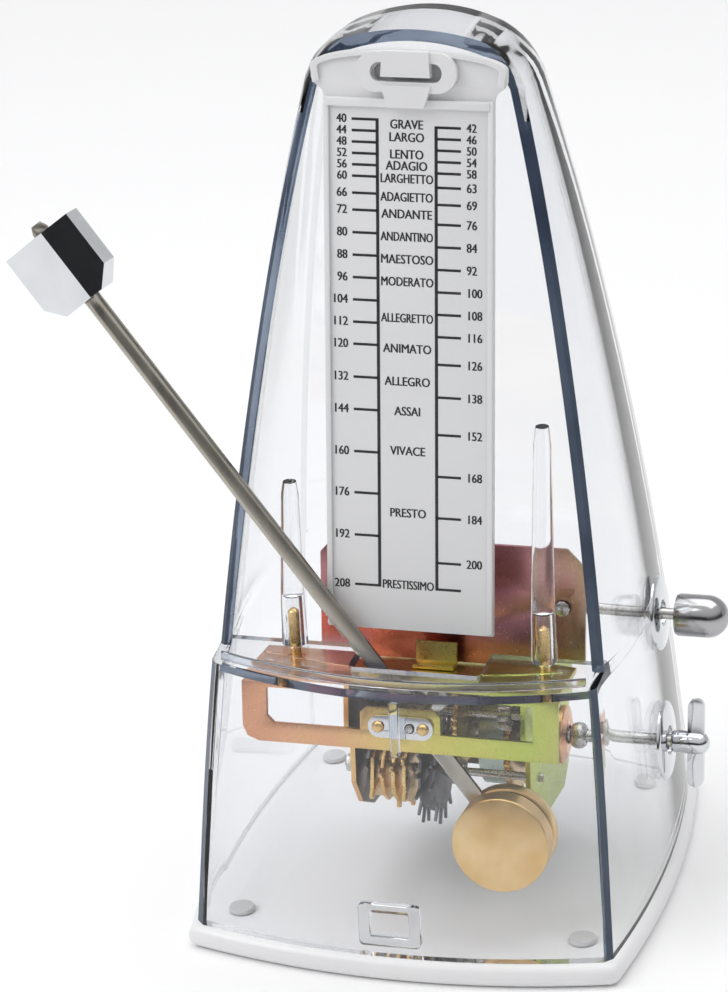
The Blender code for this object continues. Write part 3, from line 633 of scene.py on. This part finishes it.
def bar_mark(x0, x1, z0, z1):
    """A printed rectangle on the plate's face."""
    corners = [(x0, -INK_AT, z0), (x1, -INK_AT, z0), (x1, -INK_AT, z1), (x0, -INK_AT, z1)]
    LETTERS.append(mesh_from((corners, [(0, 1, 2, 3)]), "mark", TO_CARD))


SLOW, FAST = 40, 208                   # beats a minute at the first and the last mark
SLOW_Z, FAST_Z = 120.9, 10.6           # and their heights on the plate
LINE = 0.3                             # half the thickness of a mark
LEFT = (40, 44, 48, 52, 56, 60, 66, 72, 80, 88, 96, 104, 112, 120, 132, 144, 160, 176, 192, 208)
RIGHT = (42, 46, 50, 54, 58, 63, 69, 76, 84, 92, 100, 108, 116, 126, 138, 152, 168, 184, 200)
WORDS = (("GRAVE", 41.5), ("LARGO", 46), ("LENTO", 52), ("ADAGIO", 56), ("LARGHETTO", 60.5), ("ADAGIETTO", 67),
         ("ANDANTE", 73), ("ANDANTINO", 81), ("MAESTOSO", 89), ("MODERATO", 97), ("ALLEGRETTO", 110),
         ("ANIMATO", 121), ("ALLEGRO", 133), ("ASSAI", 144), ("VIVACE", 159), ("PRESTO", 183),
         ("PRESTISSIMO", 207.5))


def height_of(tempo):
    """Nearly even spacing, which opens a little before the fastest mark."""
    share = (tempo - SLOW) / (FAST - SLOW)
    return SLOW_Z + (FAST_Z - SLOW_Z) * (share - 0.33 * share ** 8 * (1 - share))


bar_mark(-7.75, -7.0, FAST_Z - LINE, SLOW_Z + LINE)
bar_mark(6.1, 6.85, FAST_Z - LINE, height_of(42) + LINE)
for tempo in LEFT:
    z = height_of(tempo)
    bar_mark(-13.4, -7.4, z - LINE, z + LINE)
    lettering(str(tempo), -14.6, z, 3.0 if tempo > 60 else 2.85, "RIGHT")
for tempo in RIGHT:
    z = height_of(tempo)
    bar_mark(6.5, 12.3, z - LINE, z + LINE)
    lettering(str(tempo), 13.6, z, 3.0 if tempo > 60 else 2.85, "LEFT")
bar_mark(6.5, 12.3, FAST_Z - LINE, FAST_Z + LINE)
for word, tempo in WORDS:
    lettering(word, -0.45, height_of(tempo), 3.0, "CENTER", 12.3)

work = bmesh.new()
work.from_mesh(card.data)
for face in work.faces:
    face.material_index = 0
for mesh in LETTERS:
    before = len(work.faces)
    work.from_mesh(mesh)
    work.faces.ensure_lookup_table()
    for face in work.faces[before:]:
        face.material_index = 1
work.to_mesh(card.data)
work.free()
finish(card, "case", [CARD, INK], ["scale_plate"], 30)

latch_eye = rounded(-8.4, 8.4, 130.0, 134.4, 2.1)
loop = plate(rounded(-11.8, 11.8, 127.6, 136.8, 4.5, 12), -2.4, -0.3, holes=[latch_eye])
latch = link("latch_fine", mesh_from(loop, "latch_fine", TO_CARD))
flap = plate([(-4.2, 124.2), (4.2, 124.2), (5.9, 129.2), (-5.9, 129.2)], -2.9, -0.3)
block = plate([(-5.8, 131.2), (5.8, 131.2), (5.4, 137.0), (-5.4, 137.0)], -3.1, -0.3)
boolean(latch, [(flap, TO_CARD), (block, TO_CARD)], "UNION")
bevel(latch, 0.5, 3)
finish(latch, "case", CARD, ["rod_latch"], 30)
build("latch_pocket", plate(rounded(-9.4, 9.4, 128.8, 135.2, 1.0), 1.7, 2.6), "case", CARD, TO_CARD,
      edge=0.2)
shelf = plate([(-19.2, 123.9), (19.2, 123.9), (19.2, 125.9), (-19.2, 125.9)], -1.3, -0.02)
build("card_shelf", shelf, "case", CARD, TO_CARD, edge=0.3)
for k, (x0, x1) in enumerate(((-20, -18.7), (18.7, 20))):
    shape = plate([(x0, 0.4), (x1, 0.4), (x1, 126.0), (x0, 126.0)], -0.9, -0.02)
    build(f"card_rail_{k + 1}", shape, "case", CARD, TO_CARD, edge=0.3)
arch_out = [(23 * math.cos(a), 133 + 4.4 * math.sin(a)) for a in (math.pi * k / 32 for k in range(33))]
arch_in = [(21.3 * math.cos(a), 132.6 + 3.4 * math.sin(a)) for a in (math.pi * k / 32 for k in range(33))]
arch = [(22.4, 129.0), *arch_out, (-22.4, 129.0), (-20.9, 129.6), *reversed(arch_in), (20.9, 129.6)]
build("card_arch", plate(arch, -0.9, -0.02), "case", CARD, TO_CARD, edge=0.3)

# ---- chassis and its trim ---------------------------------------------------------------------------------

chassis = refine("chassis", [YELLOW, BROWN], 0.3, 40, 3)
to_local = TO_L.inverted()
for face in chassis.data.polygons:     # the lower side walls are brown, but for the right one's outer face
    c = to_local @ face.center / MM
    if c.y > 1.0 and c.z < 7.0 and abs(face.normal.x) > 0.8 and c.x < 24.9:
        face.material_index = 1
refine("bell_plate", ROSE, 0.25, 40, 2)
for name in ("deck_bracket", "selector_bearing_left", "selector_bearing_right"):
    refine(name, YELLOW, 0.15)
for name in ("plate_rivet", "selector_detent", "bell_post", "click", "click_pin", "hammer_lever",
             "ratchet_wheel"):
    refine(name, STEEL, 0.08)
for name in ("bearing_rivet_1", "bearing_rivet_2", "case_screw_1", "case_screw_2"):
    refine(name, BRASS, 0.08)
tie = plate([(-17.0, -30.5), (24.4, -30.5), (24.4, 6.5), (-17.0, 6.5)], 55.4, 56.4)
build("rear_tie_plate", tie, "case", BROWN, TO_L, edge=0.3)
build("bearing_plate_fine", plate(rounded(-10.0, 5.6, -2.7, 2.7, 2.6, 10), -6.5, -5.5,
                                  holes=[circle(0, 0, 1.25), circle(-7.6, 0, 1.0), circle(3.2, 0, 1.0)]),
      "case", CHROME, TO_L, ["bearing_plate"], edge=0.2, segments=3)

# ---- pendulum ---------------------------------------------------------------------------------------------

refine("pendulum_rod", NICKEL, 0.12)
refine("pendulum_arbor", STEEL, 0.08)
refine("pallet_cam", STEEL, 0.1)
r = BOB_R
BOB_AXIS = (0, -BOB_AT)
bob_front = [(0, -6.8), (r - 0.5, -6.8), (r - 0.2, -6.7), (r, -6.4),
             (r, -1.3), (r - 0.3, -0.85), (r - 0.5, -0.8), (0, -0.8)]
bob_rear = [(2.4, 0.8), (r - 0.5, 0.8), (r - 0.15, 0.95), (r, 1.3),
            (r, 4.3), (r - 0.15, 4.65), (r - 0.5, 4.8), (2.4, 4.8)]
for name, profile in (("bob_front", bob_front), ("bob_rear", bob_rear)):
    disc = turned(profile, 96, "y", BOB_AXIS)
    build(name + "_fine", disc, "pendulum", BOB, TO_S, [name], angle=25)
# Painted shade: dark brown discs fill the gap between the bob's two halves, so the groove between them reads
# dark.
for name, low, high in (("bob_washer_front", -0.79, -0.52), ("bob_washer_rear", 0.52, 0.79)):
    shade_disc = [(2.6, low), (r - 0.7, low), (r - 0.6, (low + high) / 2), (r - 0.7, high), (2.6, high)]
    build(name, turned(shade_disc, 96, "y", BOB_AXIS), "pendulum", BROWN, TO_S)
refine("bob_rivet", STEEL, 0.08)


def six_sided(half, bottom, low, shoulder_z, top):
    """The weight's outline: straight sides over a narrower foot. bottom is the foot's half width."""
    w = WEIGHT_AT
    return [(-bottom, w - low), (bottom, w - low), (half, w - shoulder_z), (half, w + top), (-half, w + top),
            (-half, w - shoulder_z)]


def weight_block(ridge_x=2.4, ridge_y=-6.2, rear_y=2.4):
    """The sliding weight, whose front has two facets that meet along a ridge to the right of the rod."""
    outline = six_sided(9.7, 5.6, 9.4, 5.0, 9.4)
    front_y = [-5.5, -5.5, -4.6, -4.6, -4.6, -4.6]
    low, high = outline[0][1], outline[3][1]
    verts = [(x, y, z) for (x, z), y in zip(outline, front_y)]
    verts += [(x, rear_y, z) for x, z in outline]
    verts += [(ridge_x, y, z) for y in (ridge_y, rear_y) for z in (low, high)]
    faces = [(0, 12, 13, 4, 5), (12, 1, 2, 3, 13), (6, 11, 10, 15, 14), (14, 15, 9, 8, 7), (1, 7, 8, 2),
             (2, 8, 9, 3), (5, 4, 10, 11), (0, 5, 11, 6), (0, 6, 14, 12), (12, 14, 7, 1), (3, 9, 15, 13),
             (13, 15, 10, 4)]
    return verts, faces


hollow = plate(six_sided(8.9, 5.0, 8.6, 4.5, 8.6), -3.8, 4)
rod_slot = [(-2.4, WEIGHT_AT - 12), (2.4, WEIGHT_AT - 12), (2.4, WEIGHT_AT + 12), (-2.4, WEIGHT_AT + 12)]
weight = link("weight_fine", mesh_from(weight_block(), "weight_fine", TO_S))
boolean(weight, [(hollow, TO_S), (plate(rod_slot, -0.9, 0.9), TO_S)], "DIFFERENCE")
bevel(weight, 0.22, 3, 12)
finish(weight, "tempo_weight", CHROME, ["tempo_weight"], 8)
refine("weight_spring", STEEL, 0.05)

# ---- movement ---------------------------------------------------------------------------------------------

for name in ("third_arbor", "escape_arbor", "winding_arbor", "selector_rod", "third_pinion", "escape_pinion",
             "arbor_nut"):
    refine(name, STEEL, 0.06)
for name in ("great_wheel", "third_wheel", "bell_cam_1", "bell_cam_2", "bell_cam_3", "bell_cam_4",
             "hammer_head"):
    refine(name, BRASS, 0.06)
for name in ("escape_wheel_left", "escape_wheel_right", "mainspring"):
    refine(name, DARK, 0.05)
drum = [(2.6, 8.0), (12.9, 8.0), (13.3, 8.2), (13.4, 8.6), (13.4, 14.4), (13.2, 14.6),
        (12.6, 14.6), (12.6, 9.0), (2.6, 9.0)]
build("barrel_fine", turned(drum, 96, "x", WINDING), "barrel", ZINC, TO_L, ["barrel_drum"],
      angle=30)
bushing = [(2.4, 26.1), (7.0, 26.1), (7.2, 26.3), (7.2, 27.2), (7.0, 27.5), (4.8, 28.0), (4.5, 28.2),
           (2.4, 28.2)]
build("bushing_fine", turned(bushing, 64, "x", WINDING), "case", COPPER, TO_L, ["winding_bushing"],
      angle=30)
collar = [(1.8 + 1.5 * math.sin(a), 30.6 - 2.0 * math.cos(a))
          for a in (math.pi * k / 16 for k in range(1, 16))]
build("collar_fine", turned([(1.8, 28.6), *collar, (1.8, 32.6)], 64, "x", WINDING), "winding", STEEL, TO_L,
      ["shaft_collar"])


def escutcheon(name, at, x, lean, bore, r, replaced):
    """A domed ring on the case's right wall, square to the wall's lean there."""
    profile = [(bore, 0), (r - 0.1, 0), (r + 0.2, 0.15), (r + 0.2, 0.4), (r, 0.75), (r - 0.5, 1.05),
               (bore + 1.2, 1.35), (bore + 0.3, 1.4), (bore, 1.3)]
    matrix = Matrix.Translation(Vector((x, *at)) * MM) @ Matrix.Rotation(math.radians(-lean), 4, "Y")
    build(name, turned(profile, 96, "x"), "case", CHROME, matrix, [replaced], angle=40)


escutcheon("key_ring_fine", KEY, 53.9, 4.3, 3.6, 9.5, "key_escutcheon")
escutcheon("selector_ring_fine", KNOB, 51.2, 5.8, 3.2, 8.9, "selector_escutcheon")


def domed(radius, start, tip, steps=12):
    """A turned profile: a straight barrel that ends in a hemisphere at tip."""
    arc = [(radius * math.cos(a), tip - radius + radius * math.sin(a))
           for a in (math.pi / 2 * k / steps for k in range(steps))]
    return [(radius - 0.9, start), (radius - 0.35, start + 0.2), (radius, start + 0.9), *arc, (0, tip)]


key_y, key_z = WINDING
stem = turned([(0, 53.2), *domed(2.8, 53.2, 62.6)], 64, "x", WINDING)
wing_outline = [(x, key_z + z) for x, z in rounded(57.2, 61.2, -11.2, 11.2, 1.95, 10)]
wings = plate(wing_outline, key_y - 0.95, key_y + 0.95)
socket = turned([(0, 50), (1.85, 50), (1.85, 59.0), (0, 59.0)], 48, "x", WINDING)
key = link("key_fine", mesh_from(stem, "key_fine", TO_L))
boolean(key, [(wings, TO_L)], "UNION")
boolean(key, [(socket, TO_L)], "DIFFERENCE")
bevel(key, 0.45, 3, 35)
finish(key, "winding", CHROME, ["winding_key"], 30)
knob = turned([(0, 59.6), (1.7, 59.6), (1.7, 53.2), *domed(5.2, 53.2, 66.2, 20)], 96, "x", SELECT)
build("knob_fine", knob, "selector", SATIN, TO_L, ["selector_knob"])


def bell_profile(radius=17.4, rim=26.5, rise=10, bore=1.7, steps=16):
    """The gong's outer curve, a flattened spherical cap from its bore to its rim, and its inner curve back."""
    sweep = math.radians(61)
    outside = []
    for k in range(steps + 1):
        a = sweep * k / steps
        lift = (math.cos(a) - math.cos(sweep)) / (1 - math.cos(sweep))
        outside.append((radius * math.sin(a) / math.sin(sweep), rim + rise * lift))
    outside[0] = (bore, outside[0][1])
    inside = [(max(q - 0.9, 2.0), a - 0.8) for q, a in reversed(outside[2:])]
    return [*outside, *inside, (bore, 35.6)]


gong = turned(bell_profile(), 96, "y", (-10, 36))
build("bell_fine", gong, "case", BRASS, TO_L, ["bell_dome"])

# ---- setting ----------------------------------------------------------------------------------------------

pale = Paint("studio_floor", (0.93, 0.93, 0.935), 0.55)
pale.colour(pale.noise(3), [(0.3, (0.925, 0.925, 0.93)), (0.7, (0.94, 0.94, 0.94))])
FAR = 14.0                             # metres from the middle to the floor's edges


def backdrop(bend_at=1.2, radius=0.9, top=3.2, rows=23, flat=0.6):
    """A floor, in metres, that curves up into a wall. flat is the floor's share of its rows."""
    line = []
    for k in range(rows + 1):
        t = k / rows
        if t < flat:
            line.append((-FAR + (FAR + bend_at) * t / flat, 0.0))
        else:
            a = math.pi / 2 * (t - flat) / (1 - flat)
            line.append((bend_at + radius * math.sin(a), radius * (1 - math.cos(a))))
    line.append((bend_at + radius, top))
    points = [(x, y, z) for y, z in line for x in (-FAR, FAR)]
    return points, [(2 * k, 2 * k + 1, 2 * k + 3, 2 * k + 2) for k in range(len(line) - 1)]


floor = link("floor", mesh_from(backdrop(), "floor", WORLD, 1.0))
floor.data.materials.append(pale.material)
floor.data.shade_smooth()
black = Paint("flag_black", (0.015, 0.015, 0.018), 0.9)
black.colour(black.noise(5), [(0.3, (0.01, 0.01, 0.012)), (0.7, (0.02, 0.02, 0.022))])


def flag(name, at, size, aim):
    """A black studio flag, which only gives the polished metal something dark to mirror."""
    x, y = size[0] / 2, size[1] / 2
    mesh = mesh_from(([(-x, -y, 0), (x, -y, 0), (x, y, 0), (-x, y, 0)], [(0, 1, 2, 3)]), name, WORLD, 1.0)
    mesh.materials.append(black.material)
    cloth = link(name, mesh)
    cloth.location = at
    cloth.rotation_euler = (Vector(aim) - Vector(at)).to_track_quat("-Z", "Y").to_euler()
    cloth.visible_camera = cloth.visible_shadow = cloth.visible_diffuse = cloth.visible_transmission = False


flag("flag_front", (-0.19, -1.2, 0.33), (0.75, 0.3), (-0.08, -0.02, 0.16))


def lamp(name, at, size, power):
    """A white softbox aimed at the object's middle."""
    light = bpy.data.lights.new(name, "AREA")
    light.shape, light.size, light.size_y, light.energy = "RECTANGLE", size[0], size[1], power
    source = bpy.data.objects.new(name, light)
    bpy.context.scene.collection.objects.link(source)
    source.location = at
    source.rotation_euler = (Vector((0, 0, 0.1)) - Vector(at)).to_track_quat("-Z", "Y").to_euler()


lamp("key_box", (-0.9, -0.7, 1.2), (1.0, 1.0), 8)
lamp("top_box", (0.1, 0.3, 1.5), (1.6, 1.2), 9)

world = bpy.data.worlds.new("studio")
bpy.context.scene.world = world
world.use_nodes = True
tree = world.node_tree
direction = tree.nodes.new("ShaderNodeTexCoord")
split = tree.nodes.new("ShaderNodeSeparateXYZ")
fade = tree.nodes.new("ShaderNodeValToRGB")
# (sine of the elevation, brightness): bright at the horizon, dark above it, bright again overhead
stops = ((0.0, 0.5), (0.04, 0.5), (0.08, 0.06), (0.25, 0.13), (0.5, 0.8), (1.0, 1.05))
while len(fade.color_ramp.elements) < len(stops):
    fade.color_ramp.elements.new(0.5)
for element, (at, value) in zip(fade.color_ramp.elements, stops):
    element.position, element.color = at, (value, value, value * 1.01, 1)
tree.links.new(direction.outputs["Generated"], split.inputs["Vector"])
tree.links.new(split.outputs["Z"], fade.inputs["Fac"])
tree.links.new(fade.outputs["Color"], tree.nodes["Background"].inputs["Color"])
tree.nodes["Background"].inputs["Strength"].default_value = 0.82

lens = bpy.data.cameras.new("camera")
eye = bpy.data.objects.new("camera", lens)
bpy.context.scene.collection.objects.link(eye)
AZIMUTH, ELEVATION, ROLL = math.radians(15.37), math.radians(23.9), math.radians(-2.61)
TARGET, DISTANCE = Vector((-0.00124, 0, 0.09583)), 0.9044
out = Vector((math.sin(AZIMUTH) * math.cos(ELEVATION), -math.cos(AZIMUTH) * math.cos(ELEVATION),
              math.sin(ELEVATION)))
right = Vector((math.cos(AZIMUTH), math.sin(AZIMUTH), 0))
up = out.cross(right)
right, up = right * math.cos(ROLL) + up * math.sin(ROLL), up * math.cos(ROLL) - right * math.sin(ROLL)
stand = Matrix((right, up, out)).transposed().to_4x4()
stand.translation = TARGET + out * DISTANCE
eye.matrix_world = stand
lens.lens, lens.shift_x, lens.shift_y = 136.698, -0.068246, 0.018347
lens.clip_start, lens.clip_end = 0.05, 20
bpy.context.scene.camera = eye
bpy.context.scene.view_settings.view_transform = "Standard"
